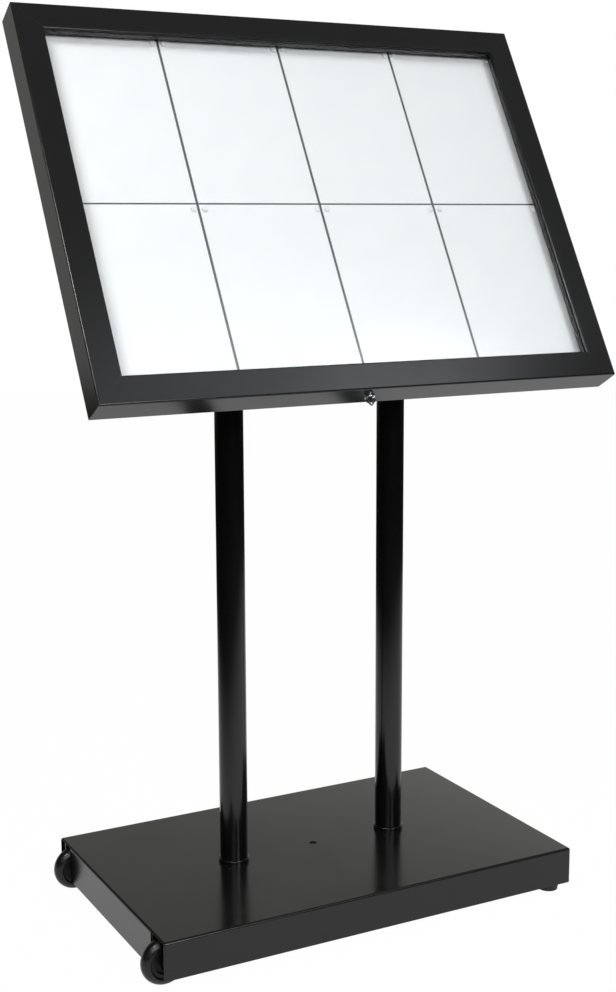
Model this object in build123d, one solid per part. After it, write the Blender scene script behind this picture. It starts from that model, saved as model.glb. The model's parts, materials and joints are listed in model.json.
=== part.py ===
from build123d import *
import os
from math import cos, degrees, asin, radians, sin

# Information display case on a two-post rolling stand.
# Millimetres, +Z up, floor at z = 0, origin on the floor under the middle of the base.
# The case is drawn flat (x along its width, y up its front, z out of its front, zero on the
# middle of its front face) and is then leaned back onto the posts.

# General fits
PIN_CLEARANCE = 0.05
MITRE_GAP = 0.2

# Pages and the board behind them
PAGE_WIDTH = 210.0
PAGE_HEIGHT = 297.0
PAGE_THICKNESS = 0.3
PAGE_GAP = 4.5
ROW_GAP = 3.0
PAGE_RISE = 2.0
PAGE_DEPTH = 28.7
COLUMNS = 4
BOARD_MARGIN_X = 3.25
BOARD_MARGIN_Y = 3.5
BOARD_THICKNESS = 1.2
MAGNET_RADIUS = 4.5
MAGNET_HEIGHT = 5.0
MAGNET_INSET = 7.0
MAGNET_DROP = 9.0
STANDOFF_RADIUS = 5.0
STANDOFF_INSET = 30.0

# Lid frame
SIDE_ROOM = 25.0
END_ROOM = 34.0
CASE_DEPTH = 51.0
FACE_WIDTH = 44.5
RAIL_WALL = 2.0
LEG_RELIEF = 0.5
RETURN_DEPTH = 15.0
FLANGE_WIDTH = 24.5
FACE_EDGE_RADIUS = 2.5
CLEAT_LENGTH = 60.0
CLEAT_THICKNESS = 3.0
CLEAT_INSET = 4.0

# Window
PANE_LAP = 10.0
PANE_THICKNESS = 3.0
GASKET_THICKNESS = 1.0
CLIP_LENGTH = 22.0
CLIP_SHEET = 1.5
CLIP_REACH = 6.0
CLIP_SPACING = 0.6

# Tray
TRAY_SHEET = 1.5
TRAY_GAP = 2.5
TRAY_FRONT = 12.0
TRAY_FLANGE = 15.5

# Place of the case
CASE_TILT = 60.0
CASE_Y = -54.0
CASE_Z = 1188.0

# Hinges
HINGE_BARREL = 3.0
HINGE_PIN = 1.4
HINGE_LENGTH = 70.0
HINGE_LEAF = 1.5
HINGE_REACH = 24.0
HINGE_SPACING = 600.0
KNUCKLE_GAP = 0.4
RIVET_HEAD = 2.6
RIVET_SHANK = 1.6
RIVET_RISE = 1.0

# Lid stays: an arm on the tray whose peg slides in a track on the lid
STAY_LENGTH = 190.0
STAY_PIVOT_RISE = 12.0
STAY_LEAD = 1.5
LID_TRAVEL = 65.0
ARM_WIDTH = 11.0
ARM_THICKNESS = 3.0
ARM_GAP = 1.5
STUD_RADIUS = 3.0
STUD_HEAD = 1.5
STUD_HEAD_RADIUS = 5.0
STUD_HEAD_GAP = 0.4
TRACK_SHEET = 2.0
TRACK_GAP = 1.1
TRACK_RIM = 3.0
TRACK_FOOT = 10.5
PEG_RADIUS = 3.0
PEG_CLEARANCE = 0.3
PEG_HEAD_RADIUS = 5.0
PEG_HEAD = 2.0

# Lock
LOCK_X = -4.0
LOCK_DEPTH = 29.0
LOCK_BARREL = 7.0
LOCK_FLANGE = 8.5
LOCK_FLANGE_HEIGHT = 2.5
LOCK_LENGTH = 15.0
LOCK_NUT = 18.0
LOCK_NUT_HEIGHT = 2.4
LOCK_NOTCH_GAP = 2.0
PLUG_RADIUS = 5.0
CAM_LENGTH = 17.0
CAM_WIDTH = 10.0
CAM_THICKNESS = 2.0
CAM_SEAT = 3.0
CAM_HUB = 6.0
CAM_SCREW_HEAD = 4.5
CAM_GAP = 0.6
KEEPER_GAP = 0.8
KEEPER_SHEET = 2.0
KEEPER_LENGTH = 13.0
KEY_THICKNESS = 2.0
KEY_WIDTH = 6.4
KEY_BLADE = 13.0
KEY_CLEARANCE = 0.15
KEY_LOBE = 4.0
KEY_HOLE = 1.7
KEY_NECK = 0.8

# Posts
POST_RADIUS = 23.5
POST_WALL = 2.0
POST_SPACING = 304.0
POST_Y = 0.0
COLLAR_PROUD = 2.4
COLLAR_HEIGHT = 7.0
PLUG_HEIGHT = 22.0
POST_BOLT = 6.0
HEAD_THICKNESS = 4.0
HEAD_MARGIN = 22.0
HEAD_BOLT = 3.0
HEAD_BOLT_INSET = 12.0

# Base
BASE_LENGTH = 760.0
BASE_DEPTH = 466.0
BASE_HEIGHT = 62.0
BASE_SHEET = 2.0
BASE_BEND = 4.0
GROUND_CLEARANCE = 20.0
CENTRE_HOLE = 6.5
BALLAST_THICKNESS = 10.0
BALLAST_SIDE_GAP = 30.0
BALLAST_LEFT_GAP = 75.0

# Wheels
WHEEL_RADIUS = 37.5
WHEEL_WIDTH = 26.0
WHEEL_PROUD = 24.0
WHEEL_INSET = 34.0
WHEEL_NOTCH = 51.0
TYRE_DEPTH = 13.5
TYRE_SHOULDER = 11.0
AXLE_RADIUS = 4.0
HUB_BOSS = 9.0
HUB_WEB = 6.0
HUB_RIM = 5.0
FORK_SHEET = 2.5
FORK_WEB = 2.0
FORK_GAP = 1.0
FORK_EAR = 11.0
FORK_LENGTH = 46.0

# Feet
FOOT_RADIUS = 19.5
FOOT_TAPER = 2.5
FOOT_INSET_X = 20.5
FOOT_INSET_Y = 36.0
FOOT_BOLT = 3.0
FOOT_RECESS = 7.5
CHANNEL_INSET = 34.0
CHANNEL_WIDTH = 60.0
CHANNEL_SHEET = 2.5
CHANNEL_LIP = 18.0

# Derived sizes
BOARD_WIDTH = COLUMNS * PAGE_WIDTH + (COLUMNS - 1) * PAGE_GAP + 2 * BOARD_MARGIN_X
BOARD_HEIGHT = 2 * PAGE_HEIGHT + ROW_GAP + 2 * BOARD_MARGIN_Y
CASE_WIDTH = BOARD_WIDTH + 2 * SIDE_ROOM
CASE_HEIGHT = BOARD_HEIGHT + 2 * END_ROOM
OPENING_WIDTH = CASE_WIDTH - 2 * FACE_WIDTH
OPENING_HEIGHT = CASE_HEIGHT - 2 * FACE_WIDTH
TRAY_OUT = RAIL_WALL + TRAY_GAP
TRAY_IN = TRAY_OUT + TRAY_SHEET
TRAY_FLOOR = -CASE_DEPTH + TRAY_SHEET
BOARD_FRONT = -PAGE_DEPTH - PAGE_THICKNESS
PANE_FRONT = -RETURN_DEPTH - GASKET_THICKNESS
PANE_BACK = PANE_FRONT - PANE_THICKNESS
HINGE_Y = CASE_HEIGHT / 2 + HINGE_BARREL
HINGE_Z = -CASE_DEPTH - HINGE_BARREL
BASE_TOP = GROUND_CLEARANCE + BASE_HEIGHT
BASE_ROOF = BASE_TOP - BASE_SHEET
WHEEL_X = -BASE_LENGTH / 2 - WHEEL_PROUD + WHEEL_RADIUS
WHEEL_Y = BASE_DEPTH / 2 - WHEEL_INSET
LEAN = Plane(
    origin=(0, CASE_Y, CASE_Z),
    x_dir=(1, 0, 0),
    z_dir=(0, -sin(radians(CASE_TILT)), cos(radians(CASE_TILT))),
).location
EDGES = {
    "bottom": Pos(0, -CASE_HEIGHT / 2, 0),
    "top": Pos(0, CASE_HEIGHT / 2, 0) * Rot(0, 0, 180),
    "left": Pos(-CASE_WIDTH / 2, 0, 0) * Rot(0, 0, -90),
    "right": Pos(CASE_WIDTH / 2, 0, 0) * Rot(0, 0, 90),
}
LOCK_PLACE = EDGES["bottom"] * Pos(LOCK_X, 0, 0)
LENGTHS = {
    "bottom": CASE_WIDTH,
    "top": CASE_WIDTH,
    "left": CASE_HEIGHT,
    "right": CASE_HEIGHT,
}


def block(x0, x1, y0, y1, z0, z1):
    """Return a box between two opposite corners."""
    middle = Pos((x0 + x1) / 2, (y0 + y1) / 2, (z0 + z1) / 2)
    return middle * Box(x1 - x0, y1 - y0, z1 - z0)


def rod(start, direction, radius, length):
    """Return a cylinder that runs from a point along a direction."""
    place = Plane(origin=start, z_dir=direction).location
    return place * Cylinder(radius, length, align=(Align.CENTER, Align.CENTER, Align.MIN))


def hexagon(start, direction, across_flats, length):
    """Return a hexagonal prism that runs from a point along a direction."""
    outline = RegularPolygon(across_flats / 2, 6, major_radius=False)
    place = Plane(origin=start, z_dir=direction).location
    return place * extrude(outline, length)


def group(shapes):
    """Return one compound of separate solids."""
    return Compound(children=list(shapes))


def strip(e0, e1, w0, w1):
    """Return a rectangle of a rail section: e is measured in from the rail's outer edge."""
    return Pos((e0 + e1) / 2, (w0 + w1) / 2) * Rectangle(e1 - e0, w1 - w0)


def mitred(section, length):
    """Return a rail along x with both ends cut at 45 degrees."""
    bar = extrude(Plane.YZ * section, length / 2, both=True)
    end = length / 2 - MITRE_GAP / 2
    deep = 2 * FACE_WIDTH
    outline = Polygon((-end, 0), (end, 0), (end - deep, deep), (deep - end, deep), align=None)
    return bar & extrude(outline, CASE_DEPTH * 2, both=True)


def rail(name):
    """Return one lid rail: face, outer leg, inner return and window flange."""
    section = strip(0, FACE_WIDTH, -RAIL_WALL, 0)
    section += strip(0, RAIL_WALL, LEG_RELIEF - CASE_DEPTH, 0)
    section += strip(FACE_WIDTH - RAIL_WALL, FACE_WIDTH, -RETURN_DEPTH, 0)
    section += strip(FACE_WIDTH - FLANGE_WIDTH, FACE_WIDTH, -RETURN_DEPTH, RAIL_WALL - RETURN_DEPTH)
    front = section.vertices().group_by(Axis.Y)[-1]
    section = fillet(front, FACE_EDGE_RADIUS)
    bar = mitred(section, LENGTHS[name])
    if name == "bottom":
        bar -= rod((LOCK_X, 0, -LOCK_DEPTH), (0, 1, 0), LOCK_BARREL + PIN_CLEARANCE, RAIL_WALL)
    if name == "top":
        for x, away in hinge_rivet_places():
            spot = (x, 0, HINGE_Z + away)
            bar -= rod(spot, (0, 1, 0), RIVET_SHANK + PIN_CLEARANCE, RAIL_WALL)
    return EDGES[name] * bar


def cleats():
    """Return the four flat corner cleats under the lid's face."""
    wide = FACE_WIDTH - RAIL_WALL - 2 * CLEAT_INSET
    solids = []
    for sx in (-1, 1):
        for sy in (-1, 1):
            x = sx * (CASE_WIDTH / 2 - RAIL_WALL - CLEAT_INSET)
            y = sy * (CASE_HEIGHT / 2 - RAIL_WALL - CLEAT_INSET)
            outline = Polygon(
                (x, y),
                (x - sx * CLEAT_LENGTH, y),
                (x - sx * CLEAT_LENGTH, y - sy * wide),
                (x - sx * wide, y - sy * wide),
                (x - sx * wide, y - sy * CLEAT_LENGTH),
                (x, y - sy * CLEAT_LENGTH),
                align=None,
            )
            plate = extrude(outline, CLEAT_THICKNESS, dir=(0, 0, -1))
            solids.append(Pos(0, 0, -RAIL_WALL) * plate)
    return group(solids)


def window_pane():
    """Return the clear pane behind the lid's opening."""
    x = OPENING_WIDTH / 2 + PANE_LAP
    y = OPENING_HEIGHT / 2 + PANE_LAP
    return block(-x, x, -y, y, PANE_BACK, PANE_FRONT)


def pane_gasket():
    """Return the soft frame between the window flange and the pane."""
    x = OPENING_WIDTH / 2 + PANE_LAP
    y = OPENING_HEIGHT / 2 + PANE_LAP
    outer = block(-x, x, -y, y, PANE_FRONT, -RETURN_DEPTH)
    x -= PANE_LAP - RAIL_WALL / 2
    y -= PANE_LAP - RAIL_WALL / 2
    return outer - block(-x, x, -y, y, PANE_FRONT, -RETURN_DEPTH)


def pane_clips():
    """Return the stepped clips that press the pane onto its gasket."""
    edge = FACE_WIDTH - PANE_LAP - CLIP_SHEET
    back = PANE_BACK - CLIP_SHEET
    start = FACE_WIDTH - FLANGE_WIDTH + RAIL_WALL / 2
    section = strip(start, edge, -RETURN_DEPTH - CLIP_SHEET, -RETURN_DEPTH)
    section += strip(edge - CLIP_SHEET, edge, back, -RETURN_DEPTH)
    section += strip(edge - CLIP_SHEET, edge + CLIP_SHEET + CLIP_REACH, back, PANE_BACK)
    clip = extrude(Plane.YZ * section, CLIP_LENGTH / 2, both=True)
    head = (start + edge - CLIP_SHEET) / 2
    clip += rod((0, head, -RETURN_DEPTH - CLIP_SHEET), (0, 0, -1), RIVET_HEAD, RIVET_RISE)
    solids = []
    for name, place in EDGES.items():
        for side in (-1, 1):
            x = side * LENGTHS[name] * CLIP_SPACING / 2
            solids.append(place * Pos(x, 0, 0) * clip)
    return group(solids)


def tray_wall(name):
    """Return one wall of the tray, with the foot that is welded to the back panel."""
    section = strip(TRAY_OUT, TRAY_IN, TRAY_FLOOR, -TRAY_FRONT)
    section += strip(TRAY_OUT, TRAY_OUT + TRAY_FLANGE, TRAY_FLOOR, TRAY_FLOOR + TRAY_SHEET)
    wall = mitred(section, LENGTHS[name])
    if name == "bottom":
        half = LOCK_NUT / 2 / cos(radians(30)) + LOCK_NOTCH_GAP
        low = -LOCK_DEPTH - half
        wall -= block(LOCK_X - half, LOCK_X + half, TRAY_OUT, TRAY_IN, low, -TRAY_FRONT)
    if name == "top":
        for x, away in hinge_rivet_places():
            spot = (x, away, TRAY_FLOOR)
            wall -= rod(spot, (0, 0, 1), RIVET_SHANK + PIN_CLEARANCE, TRAY_SHEET)
    return EDGES[name] * wall


def back_panel():
    """Return the flat back of the tray with its bolt and rivet holes."""
    x = CASE_WIDTH / 2 - TRAY_OUT
    y = CASE_HEIGHT / 2 - TRAY_OUT
    panel = block(-x, x, -y, y, -CASE_DEPTH, TRAY_FLOOR)
    for x, y in head_bolt_places():
        panel -= rod((x, y, -CASE_DEPTH), (0, 0, 1), HEAD_BOLT + PIN_CLEARANCE, TRAY_SHEET)
    for x, away in hinge_rivet_places():
        spot = (x, CASE_HEIGHT / 2 - away, -CASE_DEPTH)
        panel -= rod(spot, (0, 0, 1), RIVET_SHANK + PIN_CLEARANCE, TRAY_SHEET)
    return panel


def magnet_board():
    """Return the steel board that the pages lie on."""
    x = BOARD_WIDTH / 2
    y = BOARD_HEIGHT / 2
    return block(-x, x, -y, y, BOARD_FRONT - BOARD_THICKNESS, BOARD_FRONT)


def standoffs():
    """Return the studs that carry the board on the back panel."""
    x = BOARD_WIDTH / 2 - STANDOFF_INSET
    y = BOARD_HEIGHT / 2 - STANDOFF_INSET
    long = BOARD_FRONT - BOARD_THICKNESS - TRAY_FLOOR
    places = [(sx * x, sy * y) for sx in (-1, 0, 1) for sy in (-1, 1)]
    return group(rod((px, py, TRAY_FLOOR), (0, 0, 1), STANDOFF_RADIUS, long) for px, py in places)


def page_places(row):
    """Return the page centres of the upper (1) or lower (-1) row."""
    pitch = PAGE_WIDTH + PAGE_GAP
    y = PAGE_RISE + row * (PAGE_HEIGHT + ROW_GAP) / 2
    return [((i - (COLUMNS - 1) / 2) * pitch, y) for i in range(COLUMNS)]


def pages(row):
    """Return one row of pages."""
    sheet = Box(PAGE_WIDTH, PAGE_HEIGHT, PAGE_THICKNESS)
    z = BOARD_FRONT + PAGE_THICKNESS / 2
    return group(Pos(x, y, z) * sheet for x, y in page_places(row))


def page_magnets():
    """Return the round magnets at the top corners of every page."""
    solids = []
    for row in (1, -1):
        for x, y in page_places(row):
            for side in (-1, 1):
                px = x + side * (PAGE_WIDTH / 2 - MAGNET_INSET)
                py = y + PAGE_HEIGHT / 2 - MAGNET_DROP
                peg = rod((px, py, -PAGE_DEPTH), (0, 0, 1), MAGNET_RADIUS, MAGNET_HEIGHT)
                rim = peg.edges().group_by(Axis.Z)[-1]
                solids.append(fillet(rim, MAGNET_HEIGHT / 5))
    return group(solids)


def hinge_rivet_places():
    """Return the rivets of both leaves: along the hinge, and away from its axis."""
    away = HINGE_BARREL + HINGE_REACH * 0.55
    xs = [s * HINGE_SPACING / 2 + k * HINGE_LENGTH * 0.32 for s in (-1, 1) for k in (-1, 1)]
    return [(x, away) for x in xs]


def hinge_case_leaves():
    """Return the leaves on the back panel, each with the two outer knuckles."""
    y = CASE_HEIGHT / 2
    third = HINGE_LENGTH / 6
    solids = []
    for s in (-1, 1):
        x = s * HINGE_SPACING / 2
        half = HINGE_LENGTH / 2
        low = y - HINGE_REACH
        leaf = block(x - half, x + half, low, y, -CASE_DEPTH - HINGE_LEAF, -CASE_DEPTH)
        leaf -= block(x - third, x + third, y - HINGE_BARREL, y, -CASE_DEPTH * 2, 0)
        for side in (-1, 1):
            start = x + side * third
            end = x + side * half
            lo = min(start, end)
            hi = max(start, end)
            leaf += rod((lo, HINGE_Y, HINGE_Z), (1, 0, 0), HINGE_BARREL, hi - lo)
            leaf += block(lo, hi, y, HINGE_Y, -CASE_DEPTH - HINGE_LEAF, -CASE_DEPTH)
        bore = HINGE_PIN + PIN_CLEARANCE
        leaf -= rod((x - half, HINGE_Y, HINGE_Z), (1, 0, 0), bore, HINGE_LENGTH)
        for rx, away in hinge_rivet_places():
            spot = (rx, y - away, -CASE_DEPTH)
            leaf -= rod(spot, (0, 0, -1), RIVET_SHANK + PIN_CLEARANCE, HINGE_LEAF)
        solids.append(leaf)
    return group(solids)


def hinge_lid_leaves():
    """Return the leaves on the top rail, each with the middle knuckle."""
    y = CASE_HEIGHT / 2
    third = HINGE_LENGTH / 6 - KNUCKLE_GAP
    half = HINGE_LENGTH / 2
    solids = []
    for s in (-1, 1):
        x = s * HINGE_SPACING / 2
        back = LEG_RELIEF - CASE_DEPTH
        leaf = block(x - half, x + half, y, y + HINGE_LEAF, back, back + HINGE_REACH)
        leaf += block(x - third, x + third, y, y + HINGE_LEAF, HINGE_Z, back)
        leaf += rod((x - third, HINGE_Y, HINGE_Z), (1, 0, 0), HINGE_BARREL, 2 * third)
        bore = HINGE_PIN + PIN_CLEARANCE
        leaf -= rod((x - half, HINGE_Y, HINGE_Z), (1, 0, 0), bore, HINGE_LENGTH)
        for rx, away in hinge_rivet_places():
            spot = (rx, y, HINGE_Z + away)
            leaf -= rod(spot, (0, 1, 0), RIVET_SHANK + PIN_CLEARANCE, HINGE_LEAF)
        solids.append(leaf)
    return group(solids)


def hinge_pins():
    """Return the two hinge pins."""
    starts = [s * HINGE_SPACING / 2 - HINGE_LENGTH / 2 for s in (-1, 1)]
    return group(rod((x, HINGE_Y, HINGE_Z), (1, 0, 0), HINGE_PIN, HINGE_LENGTH) for x in starts)


def rivet(stack):
    """Return a rivet along +z through a stack of sheets, with its head below z = 0."""
    body = rod((0, 0, -RIVET_RISE), (0, 0, 1), RIVET_HEAD, RIVET_RISE)
    body += rod((0, 0, 0), (0, 0, 1), RIVET_SHANK, stack)
    return body + rod((0, 0, stack), (0, 0, 1), RIVET_HEAD, RIVET_RISE)


def hinge_case_rivets():
    """Return the rivets through the leaf, the back panel and the top tray wall."""
    one = rivet(HINGE_LEAF + 2 * TRAY_SHEET)
    y = CASE_HEIGHT / 2
    z = -CASE_DEPTH - HINGE_LEAF
    return group(Pos(x, y - away, z) * one for x, away in hinge_rivet_places())


def hinge_lid_rivets():
    """Return the rivets through the lid leaf and the top rail's leg."""
    one = rivet(HINGE_LEAF + RAIL_WALL)
    y = CASE_HEIGHT / 2 + HINGE_LEAF
    turn = Rot(90, 0, 0)
    return group(Pos(x, y, HINGE_Z + away) * turn * one for x, away in hinge_rivet_places())


def stay_points():
    """Return the stay's pivot, the peg at rest and the track's slope, in the y-z plane."""
    rise = degrees(asin(STAY_PIVOT_RISE / STAY_LENGTH))
    slope = rise + STAY_LEAD
    reach = 2 * STAY_LENGTH * cos(radians(STAY_LEAD))
    pivot = along_track(STAY_LENGTH, rise)
    return pivot, along_track(reach, slope), slope


def along_track(distance, slope):
    """Return the point at a distance from the hinge axis along a line that rises inwards."""
    turn = radians(slope)
    return HINGE_Y - distance * cos(turn), HINGE_Z + distance * sin(turn)


def side_rod(inset, point, radius, thick):
    """Return a cylinder across the right-hand edge that starts inset from the outer edge."""
    x = CASE_WIDTH / 2 - inset
    return rod((x, point[0], point[1]), (-1, 0, 0), radius, thick)


def side_slot(inset, start, end, radius, thick):
    """Return a bar with round ends across the right-hand edge, between two points."""
    direction = Vector(0, end[0] - start[0], end[1] - start[1])
    x = CASE_WIDTH / 2 - inset
    place = Plane(origin=(x, start[0], start[1]), x_dir=direction, z_dir=(-1, 0, 0))
    bar = Pos(direction.length / 2, 0) * SlotCenterToCenter(direction.length, 2 * radius)
    return place.location * extrude(bar, thick)


ARM_START = TRAY_IN + ARM_GAP
STUD_START = ARM_START + ARM_THICKNESS + STUD_HEAD_GAP
TRACK_START = STUD_START + STUD_HEAD + TRACK_GAP
PEG_HEAD_START = TRACK_START + TRACK_SHEET + TRACK_GAP


def stay_arm():
    """Return the right-hand stay arm with its peg."""
    pivot, peg, _ = stay_points()
    arm = side_slot(ARM_START, pivot, peg, ARM_WIDTH / 2, ARM_THICKNESS)
    arm -= side_rod(ARM_START, pivot, STUD_RADIUS + PIN_CLEARANCE, ARM_THICKNESS)
    reach = PEG_HEAD_START - ARM_START - ARM_THICKNESS
    arm += side_rod(ARM_START + ARM_THICKNESS, peg, PEG_RADIUS, reach)
    return arm + side_rod(PEG_HEAD_START, peg, PEG_HEAD_RADIUS, PEG_HEAD)


def stay_stud():
    """Return the right-hand pivot stud on the tray wall."""
    pivot = stay_points()[0]
    stud = side_rod(TRAY_IN, pivot, ARM_WIDTH / 2, ARM_GAP - STUD_HEAD_GAP)
    stud += side_rod(TRAY_IN, pivot, STUD_RADIUS, STUD_START - TRAY_IN)
    return stud + side_rod(STUD_START, pivot, STUD_HEAD_RADIUS, STUD_HEAD)


def stay_track():
    """Return the right-hand track: a slotted plate on edge with a foot under the lid's face."""
    slope = stay_points()[2]
    near_reach = 2 * STAY_LENGTH * cos(radians(STAY_LEAD + LID_TRAVEL))
    far_reach = 2 * STAY_LENGTH * cos(radians(STAY_LEAD))
    near = along_track(near_reach, slope)
    far = along_track(far_reach, slope)
    half = PEG_RADIUS + PEG_CLEARANCE
    edge = half + TRACK_RIM
    plate = side_slot(TRACK_START, near, far, edge, TRACK_SHEET)
    outer = CASE_WIDTH / 2 - TRACK_START
    inner = outer - TRACK_SHEET
    outline = Polygon(near, far, (far[0], -RAIL_WALL), (near[0], -RAIL_WALL), align=None)
    web = extrude(Plane.YZ * outline, TRACK_SHEET, dir=(1, 0, 0))
    plate += Pos(inner, 0, 0) * web
    foot = inner - TRACK_FOOT
    plate += block(foot, outer, far[0], near[0], -RAIL_WALL - TRACK_SHEET, -RAIL_WALL)
    return plate - side_slot(TRACK_START, near, far, half, TRACK_SHEET)


def lock_body():
    """Return the lock's flange and barrel, bored for the plug."""
    base = (0, 0, -LOCK_DEPTH)
    body = rod(base, (0, -1, 0), LOCK_FLANGE, LOCK_FLANGE_HEIGHT)
    rim = body.edges().group_by(Axis.Y)[0]
    body = fillet(rim, LOCK_FLANGE_HEIGHT / 3)
    body += rod(base, (0, 1, 0), LOCK_BARREL, LOCK_LENGTH)
    front = (0, -LOCK_FLANGE_HEIGHT, -LOCK_DEPTH)
    bore = PLUG_RADIUS + PIN_CLEARANCE
    body -= rod(front, (0, 1, 0), bore, LOCK_LENGTH + LOCK_FLANGE_HEIGHT)
    return LOCK_PLACE * body


def lock_nut():
    """Return the nut that holds the lock in the bottom rail."""
    base = (0, RAIL_WALL, -LOCK_DEPTH)
    nut = hexagon(base, (0, 1, 0), LOCK_NUT, LOCK_NUT_HEIGHT)
    nut -= rod(base, (0, 1, 0), LOCK_BARREL + PIN_CLEARANCE, LOCK_NUT_HEIGHT)
    return LOCK_PLACE * nut


def lock_plug():
    """Return the turning plug with its keyway and cam seat."""
    front = (0, -LOCK_FLANGE_HEIGHT, -LOCK_DEPTH)
    long = LOCK_FLANGE_HEIGHT + LOCK_LENGTH + CAM_GAP
    plug = rod(front, (0, 1, 0), PLUG_RADIUS, long)
    seat = (0, LOCK_LENGTH + CAM_GAP, -LOCK_DEPTH)
    plug += rod(seat, (0, 1, 0), CAM_SEAT - PIN_CLEARANCE, CAM_THICKNESS)
    x = KEY_WIDTH / 2 + KEY_CLEARANCE
    z = KEY_THICKNESS / 2 + KEY_CLEARANCE
    deep = KEY_BLADE + KEY_CLEARANCE - LOCK_FLANGE_HEIGHT
    keyway = block(-x, x, -LOCK_FLANGE_HEIGHT, deep, -LOCK_DEPTH - z, z - LOCK_DEPTH)
    plug -= keyway
    hole = RIVET_SHANK + PIN_CLEARANCE
    tail = (0, LOCK_LENGTH + CAM_GAP + CAM_THICKNESS, -LOCK_DEPTH)
    plug -= rod(tail, (0, -1, 0), hole, CAM_THICKNESS + CAM_GAP)
    return LOCK_PLACE * plug


def lock_cam():
    """Return the cam, whose tongue points to the back of the case when unlocked."""
    start = LOCK_LENGTH + CAM_GAP
    hub = rod((0, start, -LOCK_DEPTH), (0, 1, 0), CAM_HUB, CAM_THICKNESS)
    tip = -LOCK_DEPTH - CAM_LENGTH
    half = CAM_WIDTH / 2
    cam = hub + block(-half, half, start, start + CAM_THICKNESS, tip, -LOCK_DEPTH)
    cam -= rod((0, start, -LOCK_DEPTH), (0, 1, 0), CAM_SEAT, CAM_THICKNESS)
    return LOCK_PLACE * cam


def lock_cam_screw():
    """Return the screw that holds the cam on the plug."""
    seat = (0, LOCK_LENGTH + CAM_GAP + CAM_THICKNESS, -LOCK_DEPTH)
    screw = rod(seat, (0, 1, 0), CAM_SCREW_HEAD, CAM_THICKNESS)
    screw += rod(seat, (0, -1, 0), RIVET_SHANK, CAM_THICKNESS)
    return LOCK_PLACE * screw


def key():
    """Return the key: a blade in the keyway, a neck and a three-lobed bow."""
    front = -LOCK_FLANGE_HEIGHT
    root = front - KEY_NECK
    long = KEY_BLADE + KEY_NECK
    outline = Pos(0, root + long / 2) * Rectangle(KEY_WIDTH, long)
    side = root - KEY_LOBE
    lobes = [Pos(-KEY_LOBE, side), Pos(KEY_LOBE, side), Pos(0, side - KEY_LOBE)]
    for lobe in lobes:
        outline += lobe * Circle(KEY_LOBE)
    outline += Pos(0, root - KEY_LOBE) * Rectangle(KEY_WIDTH, 2 * KEY_LOBE)
    for lobe in lobes:
        outline -= lobe * Circle(KEY_HOLE)
    flat = extrude(outline, KEY_THICKNESS / 2, both=True)
    return LOCK_PLACE * Pos(0, 0, -LOCK_DEPTH) * flat


def lock_keeper():
    """Return the angle on the bottom tray wall that the turned cam hides behind."""
    rear = CAM_WIDTH / 2 + KEEPER_GAP - LOCK_DEPTH
    left = LOCK_NUT / 2 / cos(radians(30)) + LOCK_NOTCH_GAP
    right = left + KEEPER_LENGTH
    high = LOCK_LENGTH + CAM_GAP + 2 * CAM_THICKNESS
    front = rear + KEEPER_SHEET
    keeper = block(left, right, TRAY_IN, high, rear, front)
    foot = TRAY_IN + KEEPER_SHEET
    keeper += block(left, right, TRAY_IN, foot, rear - KEEPER_LENGTH, rear)
    return LOCK_PLACE * keeper


def post_meets(depth):
    """Return the case height at which the posts' axis crosses a plane of the case."""
    turn = radians(CASE_TILT)
    dy = POST_Y - CASE_Y
    dz = (depth + dy * sin(turn)) / cos(turn)
    return dy * cos(turn) + dz * sin(turn)


def head_size():
    """Return half the width and half the height of a post's head plate."""
    return POST_RADIUS + HEAD_MARGIN, POST_RADIUS / cos(radians(CASE_TILT)) + HEAD_MARGIN


def head_bolt_places():
    """Return the places of the head bolts on the case's back."""
    wide, high = head_size()
    y = post_meets(-CASE_DEPTH - HEAD_THICKNESS)
    places = []
    for x in (-POST_SPACING / 2, POST_SPACING / 2):
        for sx in (-1, 1):
            for sy in (-1, 1):
                dx = sx * (wide - HEAD_BOLT_INSET)
                dy = sy * (high - HEAD_BOLT_INSET)
                places.append((x + dx, y + dy))
    return places


def head_plate(x):
    """Return the plate between a post's slanted top and the case's back."""
    wide, high = head_size()
    y = post_meets(-CASE_DEPTH - HEAD_THICKNESS)
    back = -CASE_DEPTH - HEAD_THICKNESS
    plate = block(x - wide, x + wide, y - high, y + high, back, -CASE_DEPTH)
    plate = fillet(plate.edges().filter_by(Axis.Z), HEAD_BOLT_INSET / 2)
    for px, py in head_bolt_places():
        plate -= rod((px, py, back), (0, 0, 1), HEAD_BOLT + PIN_CLEARANCE, HEAD_THICKNESS)
    return plate


def head_bolts():
    """Return the bolts through the head plates and the case's back."""
    back = -CASE_DEPTH - HEAD_THICKNESS
    long = HEAD_THICKNESS + TRAY_SHEET + 2 * HEAD_BOLT
    solids = []
    for x, y in head_bolt_places():
        bolt = hexagon((x, y, back), (0, 0, -1), 3.3 * HEAD_BOLT, 1.3 * HEAD_BOLT)
        solids.append(bolt + rod((x, y, back), (0, 0, 1), HEAD_BOLT, long))
    return group(solids)


def head_nuts():
    """Return the nuts inside the case."""
    solids = []
    for x, y in head_bolt_places():
        base = (x, y, TRAY_FLOOR)
        nut = hexagon(base, (0, 0, 1), 3.3 * HEAD_BOLT, 1.7 * HEAD_BOLT)
        solids.append(nut - rod(base, (0, 0, 1), HEAD_BOLT + PIN_CLEARANCE, 1.7 * HEAD_BOLT))
    return group(solids)


def post(x):
    """Return one tube, cut at the top to lie flat on its head plate."""
    high = CASE_Z + CASE_HEIGHT
    tube = rod((x, POST_Y, BASE_TOP), (0, 0, 1), POST_RADIUS, high)
    tube -= rod((x, POST_Y, BASE_TOP), (0, 0, 1), POST_RADIUS - POST_WALL, high)
    room = 2 * high
    beyond = block(-room, room, -room, room, -CASE_DEPTH - HEAD_THICKNESS, room)
    return tube - LEAN * beyond


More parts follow.
